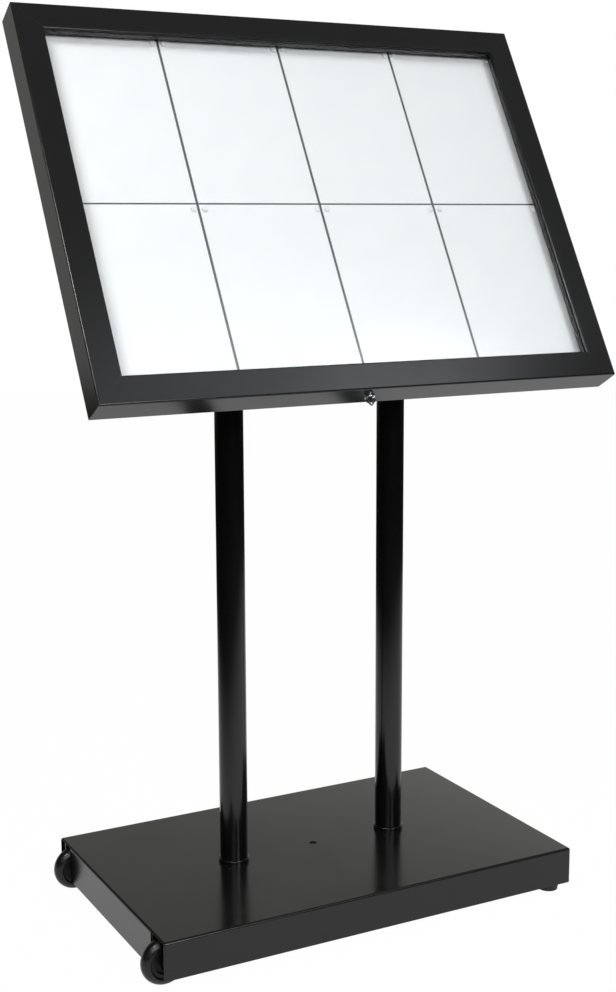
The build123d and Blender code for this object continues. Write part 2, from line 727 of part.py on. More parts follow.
def collar(x):
    """Return the rounded ring round a post's foot."""
    foot = (x, POST_Y, BASE_TOP)
    ring = rod(foot, (0, 0, 1), POST_RADIUS + COLLAR_PROUD, COLLAR_HEIGHT)
    ring = fillet(ring.edges().group_by(Axis.Z)[-1], COLLAR_PROUD * 0.8)
    return ring - rod(foot, (0, 0, 1), POST_RADIUS + PIN_CLEARANCE, COLLAR_HEIGHT)


def post_plugs():
    """Return the threaded plugs in the posts' feet."""
    solids = []
    for x in (-POST_SPACING / 2, POST_SPACING / 2):
        foot = (x, POST_Y, BASE_TOP)
        plug = rod(foot, (0, 0, 1), POST_RADIUS - POST_WALL - PIN_CLEARANCE, PLUG_HEIGHT)
        solids.append(plug - rod(foot, (0, 0, 1), POST_BOLT + PIN_CLEARANCE, PLUG_HEIGHT))
    return group(solids)


def post_bolts():
    """Return the bolts and washers that pull the posts onto the base."""
    low = BASE_ROOF - BALLAST_THICKNESS
    washer = POST_BOLT / 2.4
    long = washer + BALLAST_THICKNESS + BASE_SHEET + PLUG_HEIGHT * 0.8
    solids = []
    for x in (-POST_SPACING / 2, POST_SPACING / 2):
        disc = rod((x, POST_Y, low), (0, 0, -1), 2 * POST_BOLT, washer)
        disc -= rod((x, POST_Y, low), (0, 0, -1), POST_BOLT + PIN_CLEARANCE, washer)
        under = (x, POST_Y, low - washer)
        bolt = hexagon(under, (0, 0, -1), 3 * POST_BOLT, 1.25 * POST_BOLT)
        bolt += rod(under, (0, 0, 1), POST_BOLT, long)
        solids += [disc, bolt]
    return group(solids)


def base_cover():
    """Return the folded cover with its wheel notches and holes."""
    x = BASE_LENGTH / 2
    y = BASE_DEPTH / 2
    shell = block(-x, x, -y, y, GROUND_CLEARANCE, BASE_TOP)
    bends = shell.edges().filter_by(Axis.Z) + shell.edges().group_by(Axis.Z)[-1]
    shell = fillet(bends, BASE_BEND)
    x -= BASE_SHEET
    y -= BASE_SHEET
    hollow = block(-x, x, -y, y, 0, BASE_ROOF)
    bends = hollow.edges().filter_by(Axis.Z) + hollow.edges().group_by(Axis.Z)[-1]
    shell -= fillet(bends, BASE_BEND - BASE_SHEET)
    end = BASE_DEPTH / 2 - WHEEL_NOTCH
    deep = BASE_BEND + BASE_SHEET
    for low, high in ((-y, -end), (end, y)):
        shell -= block(-x - deep, deep - x, low, high, 0, BASE_ROOF)
    shell -= rod((0, 0, BASE_TOP), (0, 0, -1), CENTRE_HOLE, BASE_SHEET)
    for px in (-POST_SPACING / 2, POST_SPACING / 2):
        spot = (px, POST_Y, BASE_TOP)
        shell -= rod(spot, (0, 0, -1), POST_BOLT + PIN_CLEARANCE, BASE_SHEET)
    return shell


def ballast_plate():
    """Return the heavy plate bolted under the cover's top."""
    left = BALLAST_LEFT_GAP - BASE_LENGTH / 2
    right = BASE_LENGTH / 2 - BALLAST_SIDE_GAP
    y = BASE_DEPTH / 2 - BALLAST_SIDE_GAP
    low = BASE_ROOF - BALLAST_THICKNESS
    plate = block(left, right, -y, y, low, BASE_ROOF)
    plate -= rod((0, 0, low), (0, 0, 1), CENTRE_HOLE, BALLAST_THICKNESS)
    for x in (-POST_SPACING / 2, POST_SPACING / 2):
        hole = POST_BOLT + PIN_CLEARANCE
        plate -= rod((x, POST_Y, low), (0, 0, 1), hole, BALLAST_THICKNESS)
    return plate


def foot_channel():
    """Return the cross channel at the right end that carries the feet."""
    y = BASE_DEPTH / 2 - BASE_SHEET
    x = BASE_LENGTH / 2 - CHANNEL_INSET
    half = CHANNEL_WIDTH / 2
    low = GROUND_CLEARANCE
    web = low + CHANNEL_SHEET
    lip = low + CHANNEL_LIP
    channel = block(x - half, x + half, -y, y, low, web)
    channel += block(x - half, x - half + CHANNEL_SHEET, -y, y, low, lip)
    for side in (-1, 1):
        spot = (BASE_LENGTH / 2 - FOOT_INSET_X, side * (BASE_DEPTH / 2 - FOOT_INSET_Y), low)
        channel -= rod(spot, (0, 0, 1), FOOT_BOLT + PIN_CLEARANCE, CHANNEL_SHEET)
    return channel


def foot(side):
    """Return one round rubber foot with a recess for its screw."""
    place = Pos(BASE_LENGTH / 2 - FOOT_INSET_X, side * (BASE_DEPTH / 2 - FOOT_INSET_Y), 0)
    low = (Align.CENTER, Align.CENTER, Align.MIN)
    body = Cone(FOOT_RADIUS - FOOT_TAPER, FOOT_RADIUS, GROUND_CLEARANCE, align=low)
    body -= Cylinder(FOOT_RECESS, GROUND_CLEARANCE / 2, align=low)
    body -= Cylinder(FOOT_BOLT + PIN_CLEARANCE, GROUND_CLEARANCE, align=low)
    return place * body


def foot_screws():
    """Return the screws and nuts of the feet."""
    x = BASE_LENGTH / 2 - FOOT_INSET_X
    head = GROUND_CLEARANCE / 2
    top = GROUND_CLEARANCE + CHANNEL_SHEET
    tall = 1.7 * FOOT_BOLT
    solids = []
    for side in (-1, 1):
        y = side * (BASE_DEPTH / 2 - FOOT_INSET_Y)
        screw = rod((x, y, head), (0, 0, -1), 2 * FOOT_BOLT, FOOT_BOLT)
        screw += rod((x, y, head), (0, 0, 1), FOOT_BOLT, top - head + tall)
        nut = hexagon((x, y, top), (0, 0, 1), 3.3 * FOOT_BOLT, tall)
        nut -= rod((x, y, top), (0, 0, 1), FOOT_BOLT + PIN_CLEARANCE, tall)
        solids += [screw, nut]
    return group(solids)


def wheel_fork(side):
    """Return the fork under the cover that carries one wheel."""
    reach = WHEEL_WIDTH / 2 + FORK_GAP + FORK_SHEET
    mid = side * WHEEL_Y
    left = WHEEL_X - FORK_EAR
    right = left + FORK_LENGTH
    top = BASE_ROOF
    body = block(left, right, mid - reach, mid + reach, top - FORK_WEB, top)
    outline = Pos(WHEEL_X, WHEEL_RADIUS) * Circle(FORK_EAR)
    outline += Polygon(
        (left, WHEEL_RADIUS),
        (WHEEL_X + FORK_EAR * 0.8, WHEEL_RADIUS - FORK_EAR * 0.6),
        (right, top),
        (left, top),
        align=None,
    )
    for edge in (-1, 1):
        outer = mid + edge * reach
        ear = Plane(origin=(0, outer, 0), x_dir=(1, 0, 0), z_dir=(0, -1, 0)).location
        body += ear * extrude(outline, edge * FORK_SHEET)
    through = (WHEEL_X, mid - reach, WHEEL_RADIUS)
    return body - rod(through, (0, 1, 0), AXLE_RADIUS + PIN_CLEARANCE, 2 * reach)


def axle_bolts():
    """Return the bolts that the wheels turn on."""
    reach = WHEEL_WIDTH / 2 + FORK_GAP + FORK_SHEET
    solids = []
    for side in (-1, 1):
        outer = (WHEEL_X, side * (WHEEL_Y + reach), WHEEL_RADIUS)
        bolt = hexagon(outer, (0, side, 0), 3.25 * AXLE_RADIUS, 1.3 * AXLE_RADIUS)
        long = 2 * reach + 1.9 * AXLE_RADIUS
        solids.append(bolt + rod(outer, (0, -side, 0), AXLE_RADIUS, long))
    return group(solids)


def axle_nuts():
    """Return the nuts on the inner ends of the axle bolts."""
    reach = WHEEL_WIDTH / 2 + FORK_GAP + FORK_SHEET
    solids = []
    for side in (-1, 1):
        inner = (WHEEL_X, side * (WHEEL_Y - reach), WHEEL_RADIUS)
        nut = hexagon(inner, (0, -side, 0), 3.25 * AXLE_RADIUS, 1.6 * AXLE_RADIUS)
        hole = AXLE_RADIUS + PIN_CLEARANCE
        solids.append(nut - rod(inner, (0, -side, 0), hole, 1.6 * AXLE_RADIUS))
    return group(solids)


def wheel_tyre(side):
    """Return a tyre with a rounded tread, turned about the axle."""
    half = WHEEL_WIDTH / 2
    inner = WHEEL_RADIUS - TYRE_DEPTH
    shoulder = WHEEL_RADIUS - TYRE_SHOULDER
    tread = ThreePointArc((shoulder, -half), (WHEEL_RADIUS, 0), (shoulder, half))
    sides = Polyline((shoulder, half), (inner, half - HUB_WEB / 2), (inner, HUB_WEB / 2 - half))
    section = make_face(Curve() + [tread, sides, Line((inner, HUB_WEB / 2 - half), (shoulder, -half))])
    return Pos(WHEEL_X, side * WHEEL_Y, WHEEL_RADIUS) * revolve(section, Axis.Y)


def wheel_hub(side):
    """Return a hub with a recessed web and a long boss."""
    rim = WHEEL_RADIUS - TYRE_DEPTH - PIN_CLEARANCE
    half = WHEEL_WIDTH / 2 - HUB_WEB / 2
    long = WHEEL_WIDTH / 2 + FORK_GAP / 2
    bore = AXLE_RADIUS + PIN_CLEARANCE
    section = strip(bore, HUB_BOSS, -long, long)
    section += strip(HUB_BOSS, rim, -HUB_WEB / 2, HUB_WEB / 2)
    section += strip(rim - HUB_RIM, rim, -half, half)
    return Pos(WHEEL_X, side * WHEEL_Y, WHEEL_RADIUS) * revolve(section, Axis.Y)


def main():
    """Build every node and write it as a STEP file."""
    right_arm = stay_arm()
    right_track = stay_track()
    right_stud = stay_stud()
    flat = {f"rail_{name}": rail(name) for name in EDGES}
    flat.update({f"tray_wall_{name}": tray_wall(name) for name in EDGES})
    flat.update({
        "corner_cleats": cleats(),
        "window_pane": window_pane(),
        "pane_gasket": pane_gasket(),
        "pane_clips": pane_clips(),
        "back_panel": back_panel(),
        "magnet_board": magnet_board(),
        "board_standoffs": standoffs(),
        "pages_upper": pages(1),
        "pages_lower": pages(-1),
        "page_magnets": page_magnets(),
        "hinge_case_leaves": hinge_case_leaves(),
        "hinge_lid_leaves": hinge_lid_leaves(),
        "hinge_pins": hinge_pins(),
        "hinge_case_rivets": hinge_case_rivets(),
        "hinge_lid_rivets": hinge_lid_rivets(),
        "stay_arm_right": right_arm,
        "stay_arm_left": mirror(right_arm, Plane.YZ),
        "stay_track_right": right_track,
        "stay_track_left": mirror(right_track, Plane.YZ),
        "stay_studs": group([right_stud, mirror(right_stud, Plane.YZ)]),
        "lock_body": lock_body(),
        "lock_nut": lock_nut(),
        "lock_plug": lock_plug(),
        "lock_cam": lock_cam(),
        "lock_cam_screw": lock_cam_screw(),
        "lock_keeper": lock_keeper(),
        "key": key(),
        "head_plate_left": head_plate(-POST_SPACING / 2),
        "head_plate_right": head_plate(POST_SPACING / 2),
        "head_bolts": head_bolts(),
        "head_nuts": head_nuts(),
    })
    nodes = {name: LEAN * shape for name, shape in flat.items()}
    nodes.update({
        "post_left": post(-POST_SPACING / 2),
        "post_right": post(POST_SPACING / 2),
        "post_collar_left": collar(-POST_SPACING / 2),
        "post_collar_right": collar(POST_SPACING / 2),
        "post_plugs": post_plugs(),
        "post_bolts": post_bolts(),
        "base_cover": base_cover(),
        "ballast_plate": ballast_plate(),
        "foot_channel": foot_channel(),
        "foot_front": foot(-1),
        "foot_rear": foot(1),
        "foot_screws": foot_screws(),
        "wheel_fork_front": wheel_fork(-1),
        "wheel_fork_rear": wheel_fork(1),
        "axle_bolts": axle_bolts(),
        "axle_nuts": axle_nuts(),
        "wheel_tyre_front": wheel_tyre(-1),
        "wheel_tyre_rear": wheel_tyre(1),
        "wheel_hub_front": wheel_hub(-1),
        "wheel_hub_rear": wheel_hub(1),
    })
    os.makedirs("parts", exist_ok=True)
    for name, shape in nodes.items():
        export_step(shape, f"parts/{name}.step")


main()
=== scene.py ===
"""Looks of an information display case on a two-post rolling stand.

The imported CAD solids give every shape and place. This script dresses them with
procedural finishes, adds the thin bead that lines the window's opening, and sets
up the studio and the camera of the photograph.
"""

import json
import logging
import math
from dataclasses import dataclass
from enum import Enum
from typing import Any, ClassVar

import bmesh
import bpy
from mathutils import Matrix, Vector

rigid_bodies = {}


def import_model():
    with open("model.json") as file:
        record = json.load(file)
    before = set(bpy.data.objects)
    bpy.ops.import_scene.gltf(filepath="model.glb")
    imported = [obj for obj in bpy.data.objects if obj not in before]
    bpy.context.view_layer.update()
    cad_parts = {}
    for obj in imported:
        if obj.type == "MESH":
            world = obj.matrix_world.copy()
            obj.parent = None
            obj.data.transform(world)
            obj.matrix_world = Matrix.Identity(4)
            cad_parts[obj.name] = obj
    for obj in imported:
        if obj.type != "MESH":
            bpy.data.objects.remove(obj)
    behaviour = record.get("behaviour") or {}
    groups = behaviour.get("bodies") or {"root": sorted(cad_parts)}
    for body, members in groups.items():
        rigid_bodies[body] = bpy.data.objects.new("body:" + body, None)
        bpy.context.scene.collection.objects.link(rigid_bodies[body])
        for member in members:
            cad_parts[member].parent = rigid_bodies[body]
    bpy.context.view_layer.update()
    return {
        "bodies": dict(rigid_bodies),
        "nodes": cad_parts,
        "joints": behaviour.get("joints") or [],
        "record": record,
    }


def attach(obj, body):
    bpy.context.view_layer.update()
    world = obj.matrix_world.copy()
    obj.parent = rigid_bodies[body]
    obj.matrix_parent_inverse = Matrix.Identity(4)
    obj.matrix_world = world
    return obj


LOG = logging.getLogger("display_case")

MM = 0.001
IMAGE_HEIGHT = 992
SENSOR_MM = 36.0
WHITE = (1.0, 1.0, 1.0, 1.0)

# Where a noise texture has most of its values.
NOISE_BAND = (0.3, 0.7)
# Match of the rounded and the flat normal at which the lighter edges start, and at which
# they are full. Those edges are partly worn coating and partly a painted highlight.
EDGE_WEAR_AND_HIGHLIGHT_BAND = (0.99, 0.82)


def linear(hex_colour: str) -> tuple[float, float, float, float]:
    """Turn an sRGB hex colour into linear light.

    Args:
        hex_colour: Six hex digits, such as "1a1a1b".

    Returns:
        The linear red, green, blue and an alpha of one.
    """
    channels = [int(hex_colour[i:i + 2], 16) / 255 for i in (0, 2, 4)]
    light = [c / 12.92 if c <= 0.04045 else ((c + 0.055) / 1.055) ** 2.4 for c in channels]
    return light[0], light[1], light[2], 1.0


def per_metre(size_mm: float) -> float:
    """Return the texture scale whose features are about size_mm across."""
    return 1.0 / (size_mm * MM)


def add_node(tree: bpy.types.NodeTree, kind: str, inputs: dict[Any, Any] | None = None,
             **settings: Any) -> bpy.types.Node:
    """Add one shader node with its settings, values and links.

    Args:
        tree: The node tree that gets the node.
        kind: The node's type, such as "ShaderNodeBump".
        inputs: Values or output sockets, by input name or index.
        **settings: Attributes of the node itself.

    Returns:
        The new node.
    """
    node = tree.nodes.new(kind)
    for name, value in settings.items():
        setattr(node, name, value)
    for name, value in (inputs or {}).items():
        if isinstance(value, bpy.types.NodeSocket):
            tree.links.new(value, node.inputs[name])
        else:
            node.inputs[name].default_value = value
    return node


@dataclass(frozen=True)
class Finish:
    """A finish with a mottled tone, uneven gloss and a fine surface grain.

    Attributes:
        name: The real material's common name.
        colour: Main colour in sRGB hex.
        second: Colour that the mottling moves towards, in sRGB hex.
        roughness: Middle of the roughness band.
        spread: How far the roughness wanders either way.
        metallic: One for bare metal, otherwise zero.
        ior: Index of refraction of a coating, plastic or paper.
        grain_mm: Width of the surface grain.
        grain_depth_mm: Height of the surface grain.
        mottle_mm: Width of the patches of tone and gloss.
        stretch: How much longer the grain is along z than across.
        edge_mm: Width of the lighter edges, partly worn and partly a painted highlight, or
            zero for none.
        edge_colour: Colour of those lighter edges in sRGB hex.
    """

    name: str
    colour: str
    second: str
    roughness: float
    spread: float = 0.03
    metallic: float = 0.0
    ior: float = 1.5
    grain_mm: float = 1.0
    grain_depth_mm: float = 0.01
    mottle_mm: float = 60.0
    stretch: float = 1.0
    edge_mm: float = 0.0
    edge_colour: str = "3a3a39"

    def build(self) -> bpy.types.Material:
        """Return the material with its node tree."""
        material = bpy.data.materials.new(self.name)
        material.use_nodes = True
        tree = material.node_tree
        shader = tree.nodes["Principled BSDF"]
        place = add_node(tree, "ShaderNodeTexCoord").outputs["Object"]
        if self.stretch != 1.0:
            squeeze = (1.0, 1.0, 1.0 / self.stretch)
            place = add_node(tree, "ShaderNodeMapping", {
                "Vector": place, "Scale": squeeze}).outputs[0]
        patches = add_node(tree, "ShaderNodeTexNoise", {
            "Vector": place, "Scale": per_metre(self.mottle_mm), "Detail": 4.0, "Roughness": 0.6})
        grain = add_node(tree, "ShaderNodeTexNoise", {
            "Vector": place, "Scale": per_metre(self.grain_mm), "Detail": 2.0})
        tone = add_node(tree, "ShaderNodeMix", {
            "Factor": patches.outputs["Fac"], 6: linear(self.colour), 7: linear(self.second)},
            data_type="RGBA")
        gloss = add_node(tree, "ShaderNodeMapRange", {
            "Value": patches.outputs["Fac"], "From Min": NOISE_BAND[0], "From Max": NOISE_BAND[1],
            "To Min": self.roughness - self.spread, "To Max": self.roughness + self.spread})
        bump = add_node(tree, "ShaderNodeBump", {
            "Height": grain.outputs["Fac"], "Distance": self.grain_depth_mm * MM, "Strength": 1.0})
        if self.edge_mm:
            tone = self.wear_and_highlight_edges(tree, tone.outputs[2], patches.outputs["Fac"])
        tree.links.new(tone.outputs[2], shader.inputs["Base Color"])
        tree.links.new(gloss.outputs[0], shader.inputs["Roughness"])
        tree.links.new(bump.outputs[0], shader.inputs["Normal"])
        shader.inputs["Metallic"].default_value = self.metallic
        if self.metallic == 0.0:
            shader.inputs["IOR"].default_value = self.ior
        return material

    def wear_and_highlight_edges(self, tree: bpy.types.NodeTree, tone: bpy.types.NodeSocket,
            patches: bpy.types.NodeSocket) -> bpy.types.Node:
        """Lighten the coating along its edges, in broken patches: partly worn coating, partly a
        painted edge highlight.

        Args:
            tree: The material's node tree.
            tone: Colour of the unworn coating.
            patches: Mottling that breaks up the lighter edges.

        Returns:
            The node that mixes the lighter edge colour in.
        """
        # Painted edge highlight and wear: the colour turns lighter where the rounded normal leaves
        # the flat one.
        rounded = add_node(tree, "ShaderNodeBevel", {
            "Radius": self.edge_mm * MM}, samples=4).outputs[0]
        flat = add_node(tree, "ShaderNodeNewGeometry").outputs["Normal"]
        match = add_node(tree, "ShaderNodeVectorMath", {
            0: rounded, 1: flat}, operation="DOT_PRODUCT")
        edge = add_node(tree, "ShaderNodeMapRange", {
            "Value": match.outputs["Value"], "From Min": EDGE_WEAR_AND_HIGHLIGHT_BAND[0], "From Max": EDGE_WEAR_AND_HIGHLIGHT_BAND[1]})
        edge_wear_and_highlight = add_node(tree, "ShaderNodeMath", {
            0: edge.outputs[0], 1: patches}, operation="MULTIPLY")
        return add_node(tree, "ShaderNodeMix", {
            "Factor": edge_wear_and_highlight.outputs[0], 6: tone, 7: linear(self.edge_colour)}, data_type="RGBA")


@dataclass(frozen=True)
class ClearSheet:
    """Cast acrylic: clear, glossy, and it lets the studio light through.

    Attributes:
        name: The real material's common name.
        tint: Colour of the light that passes, in sRGB hex.
        roughness: Gloss of the cast face.
        ior: Index of refraction of acrylic.
        haze_mm: Width of the faint waves in the cast face.
        haze_depth_mm: Height of those waves.
    """

    name: str
    tint: str
    roughness: float = 0.02
    ior: float = 1.49
    haze_mm: float = 90.0
    haze_depth_mm: float = 0.004

    def build(self) -> bpy.types.Material:
        """Return the material; shadow and diffuse rays pass straight through it."""
        material = bpy.data.materials.new(self.name)
        material.use_nodes = True
        tree = material.node_tree
        shader = tree.nodes["Principled BSDF"]
        shader.inputs["Base Color"].default_value = linear(self.tint)
        shader.inputs["Roughness"].default_value = self.roughness
        shader.inputs["IOR"].default_value = self.ior
        shader.inputs["Transmission Weight"].default_value = 1.0
        place = add_node(tree, "ShaderNodeTexCoord").outputs["Object"]
        waves = add_node(tree, "ShaderNodeTexNoise", {
            "Vector": place, "Scale": per_metre(self.haze_mm), "Detail": 1.0})
        bump = add_node(tree, "ShaderNodeBump", {
            "Height": waves.outputs["Fac"], "Distance": self.haze_depth_mm * MM})
        tree.links.new(bump.outputs[0], shader.inputs["Normal"])
        path = add_node(tree, "ShaderNodeLightPath")
        either = add_node(tree, "ShaderNodeMath", {
            0: path.outputs["Is Shadow Ray"], 1: path.outputs["Is Diffuse Ray"]},
            operation="MAXIMUM")
        clear = add_node(tree, "ShaderNodeBsdfTransparent", {"Color": linear(self.tint)})
        mix = add_node(tree, "ShaderNodeMixShader", {
            0: either.outputs[0], 1: shader.outputs[0], 2: clear.outputs[0]})
        tree.links.new(mix.outputs[0], tree.nodes["Material Output"].inputs["Surface"])
        return material


class Coating(Enum):
    """The finishes of the stand and its case, named for the real materials."""

    # Satin black powder coat on sheet steel: a fine orange peel softens every reflection.
    # The peel of about 0.5 mm is drawn at 1.6 mm so that it shows in the render.
    # Its edges are lightened in broken patches: partly worn coat, partly a painted edge highlight.
    POWDER = Finish("satin_black_powder_coat", "0b0b0b", "101010", 0.18, 0.03, ior=1.47,
                    grain_mm=1.6, grain_depth_mm=0.006, mottle_mm=120.0, edge_mm=0.9)
    # Semi-gloss black enamel on drawn tube: long faint streaks run up the posts.
    ENAMEL = Finish("semi_gloss_black_enamel", "060606", "090909", 0.16, 0.03, ior=1.48,
                    grain_mm=3.0, grain_depth_mm=0.004, mottle_mm=25.0, stretch=14.0)
    # Matt grey paint on the steel board behind the pages: even and dull. Its roller grain of
    # about 0.7 mm is drawn at 1.5 mm.
    BOARD = Finish("grey_primed_steel_board", "303334", "393c3e", 0.6, 0.05, grain_mm=1.5)
    # Uncoated copier paper: bright, matt, with a barely visible fibre. The fibres of about
    # 0.05 mm are drawn at 1.2 mm.
    PAPER = Finish("uncoated_white_paper", "f3f4f5", "ecedef", 0.85, 0.05, ior=1.45,
                   grain_mm=1.2, grain_depth_mm=0.012, mottle_mm=45.0)
    # Clear injection-moulded pegs over small magnets: a glossy skin with small bright spots.
    PEG = Finish("frosted_clear_acrylic_peg", "e4e6ea", "f2f3f5", 0.18, 0.04, ior=1.49,
                 grain_mm=2.0, grain_depth_mm=0.004)
    # Moulded black rubber, matt and slightly dusty, on the feet and behind the window. The
    # mould's grit of about 0.2 mm is drawn at 0.9 mm.
    RUBBER = Finish("moulded_black_rubber", "0d0d0d", "131312", 0.55, 0.08, ior=1.52,
                    grain_mm=0.9, grain_depth_mm=0.02, mottle_mm=14.0)
    # Flocked sealing bead round the window: its short upright fibres scatter the light, so
    # only a faint sheen is left. The fibres of about 0.1 mm are drawn at 0.8 mm.
    FLOCK = Finish("flocked_black_sealing_bead", "121214", "18181a", 0.6, 0.04, ior=1.33,
                   grain_mm=0.8, grain_depth_mm=0.05, mottle_mm=9.0)
    # Moulded black polyurethane tyre: smooth, with a soft gloss on its round shoulders. Its
    # faint grain of about 0.3 mm is drawn at 1.4 mm.
    TYRE = Finish("moulded_black_polyurethane", "060606", "0c0c0c", 0.3, 0.06, ior=1.45,
                  grain_mm=1.4, grain_depth_mm=0.008, mottle_mm=12.0)
    # Moulded black polypropylene hub: a spark-eroded mould leaves it dull. That grain of about
    # 0.3 mm is drawn at 1.2 mm.
    HUB = Finish("moulded_black_polypropylene", "060606", "0b0b0b", 0.55, 0.05, ior=1.4,
                 grain_mm=1.2, grain_depth_mm=0.01, mottle_mm=20.0)
    # Bright zinc plate: a cloudy, spangled silver.
    ZINC = Finish("bright_zinc_plated_steel", "b9bcc0", "9fa3a8", 0.32, 0.08, metallic=1.0,
                  grain_mm=1.0, grain_depth_mm=0.006, mottle_mm=6.0)
    # Hot-rolled plate with thin mill scale: dark grey and unevenly dull.
    MILL = Finish("hot_rolled_steel_plate", "5b5c5e", "47484a", 0.5, 0.1, metallic=1.0,
                  grain_mm=2.0, grain_depth_mm=0.02, mottle_mm=40.0)
    # Polished chrome plate on the die-cast lock: bright, with crisp dark reflections.
    CHROME = Finish("polished_chrome_plate", "eeeeef", "dfe0e2", 0.08, 0.03, metallic=1.0,
                    grain_mm=4.0, grain_depth_mm=0.002, mottle_mm=8.0)
    # Stamped steel key with thin, handled nickel: greyer than the lock, lighter at its edges,
    # # partly worn bright by handling and partly a painted highlight.
    KEY_STEEL = Finish("stamped_nickel_plated_steel", "6a6b6e", "55565a", 0.24, 0.06, metallic=1.0,
                       grain_mm=1.0, grain_depth_mm=0.004, mottle_mm=3.0, edge_mm=0.5,
                       edge_colour="c4c5c8")
    # Cast acrylic window: clear and glossy, with the faintest cool green.
    WINDOW = ClearSheet("cast_acrylic_sheet", "fbfcfc")


class PaintShop:
    """Builds each finish once and gives it to pieces."""

    def __init__(self) -> None:
        """Start with no finish built."""
        self.ready: dict[Coating, bpy.types.Material] = {}

    def coat(self, piece: bpy.types.Object, coating: Coating) -> None:
        """Give a piece one finish, built on first use.

        Args:
            piece: The object that gets it.
            coating: The finish.
        """
        if coating not in self.ready:
            self.ready[coating] = coating.value.build()
        piece.data.materials.clear()
        piece.data.materials.append(self.ready[coating])
        LOG.info("%s: %s", piece.name, coating.value.name)


class SubAssembly:
    """A group of pieces that are made together.

    Attributes:
        coats: The finish of each CAD node in the group.
    """

    coats: ClassVar[dict[Coating, tuple[str, ...]]] = {}

    def build(self, frame: dict[str, Any], shop: PaintShop) -> None:
        """Dress the group's CAD nodes.

        Args:
            frame: What the frame loader returned.
            shop: Where the finishes come from.
        """
        for coating, names in self.coats.items():
            for name in names:
                shop.coat(frame["nodes"][name], coating)


class RollingBase(SubAssembly):
    """The folded base cover with its ballast, feet and two wheels."""

    coats = {
        Coating.POWDER: ("base_cover", "foot_channel", "wheel_fork_front", "wheel_fork_rear"),
        Coating.MILL: ("ballast_plate",),
        Coating.RUBBER: ("foot_front", "foot_rear"),
        Coating.TYRE: ("wheel_tyre_front", "wheel_tyre_rear"),
        Coating.HUB: ("wheel_hub_front", "wheel_hub_rear"),
        Coating.ZINC: ("foot_screws", "axle_bolts", "axle_nuts"),
    }


class PostPair(SubAssembly):
    """The two round posts with their collars, plugs and slanted heads."""

    coats = {
        Coating.ENAMEL: ("post_left", "post_right", "post_collar_left", "post_collar_right"),
        Coating.POWDER: ("head_plate_left", "head_plate_right"),
        Coating.MILL: ("post_plugs",),
        Coating.ZINC: ("post_bolts", "head_bolts", "head_nuts"),
    }


class PageTray(SubAssembly):
    """The leaned case: its tray, the board and the pages with their magnets."""

    coats = {
        Coating.POWDER: ("back_panel", "tray_wall_bottom", "tray_wall_top", "tray_wall_left",
                         "tray_wall_right"),
        Coating.BOARD: ("magnet_board",),
        Coating.PAPER: ("pages_upper", "pages_lower"),
        Coating.PEG: ("page_magnets",),
        Coating.ZINC: ("board_standoffs", "hinge_case_leaves", "hinge_pins", "hinge_case_rivets",
                       "stay_studs", "stay_arm_left", "stay_arm_right", "lock_keeper"),
    }


@dataclass(frozen=True)
class WindowLid(SubAssembly):
    """The hinged lid: four mitred rails round a clear window.

    Attributes:
        tilt: Lean of the case from the floor, in degrees.
        middle_mm: Place of the middle of the lid's face, across, back and up.
        opening_mm: Half the width and half the height of the window opening.
        bead_mm: Section of the bead that lines the opening: distance in from the rail and
            distance out of the face, point by point.
    """

    coats = {
        Coating.POWDER: ("rail_bottom", "rail_top", "rail_left", "rail_right", "corner_cleats"),
        Coating.RUBBER: ("pane_gasket",),
        Coating.WINDOW: ("window_pane",),
        Coating.ZINC: ("pane_clips", "hinge_lid_leaves", "hinge_lid_rivets", "stay_track_left",
                       "stay_track_right"),
    }

    tilt: float = 60.0
    middle_mm: tuple[float, float, float] = (0.0, -54.0, 1188.0)
    opening_mm: tuple[float, float] = (410.5, 291.5)
    bead_mm: tuple[tuple[float, float], ...] = (
        (0.02, -3.0), (0.4, -3.1), (0.65, -3.5), (0.7, -4.5), (0.65, -5.6), (0.4, -6.3),
        (0.02, -6.5))

    def build(self, frame: dict[str, Any], shop: PaintShop) -> None:
        """Dress the lid's CAD nodes and line its opening with a flocked bead.

        Args:
            frame: What the frame loader returned.
            shop: Where the finishes come from.
        """
        super().build(frame, shop)
        bead = self.glazing_bead()
        shop.coat(bead, Coating.FLOCK)
        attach(bead, "lid")

    def lean(self, across: float, up: float, out: float) -> Vector:
        """Return the place in metres of a point given in millimetres on the lid's face."""
        turn = math.radians(self.tilt)
        x, y, z = self.middle_mm
        return MM * Vector((x + across, y + up * math.cos(turn) - out * math.sin(turn),
                            z + up * math.sin(turn) + out * math.cos(turn)))

    def glazing_bead(self) -> bpy.types.Object:
        """Return the bead: its section carried round the opening with mitred corners."""
        wide, high = self.opening_mm
        mesh = bmesh.new()
        rings = []
        for inward, out in self.bead_mm:
            half_x, half_y = wide - inward, high - inward
            corners = ((-half_x, -half_y), (half_x, -half_y), (half_x, half_y), (-half_x, half_y))
            rings.append([mesh.verts.new(self.lean(x, y, out)) for x, y in corners])
        for ring, following in zip(rings, rings[1:] + rings[:1]):
            for k in range(4):
                after = (k + 1) % 4
                mesh.faces.new((ring[k], ring[after], following[after], following[k]))
        bmesh.ops.recalc_face_normals(mesh, faces=mesh.faces)
        data = bpy.data.meshes.new("glazing_bead")
        mesh.to_mesh(data)
        mesh.free()
        bead = bpy.data.objects.new("glazing_bead", data)
        bpy.context.scene.collection.objects.link(bead)
        return bead


class CamLock(SubAssembly):
    """The cam lock under the lid, with its key."""

    coats = {
        Coating.CHROME: ("lock_body", "lock_plug"),
        Coating.KEY_STEEL: ("key",),
        Coating.ZINC: ("lock_nut", "lock_cam", "lock_cam_screw"),
    }


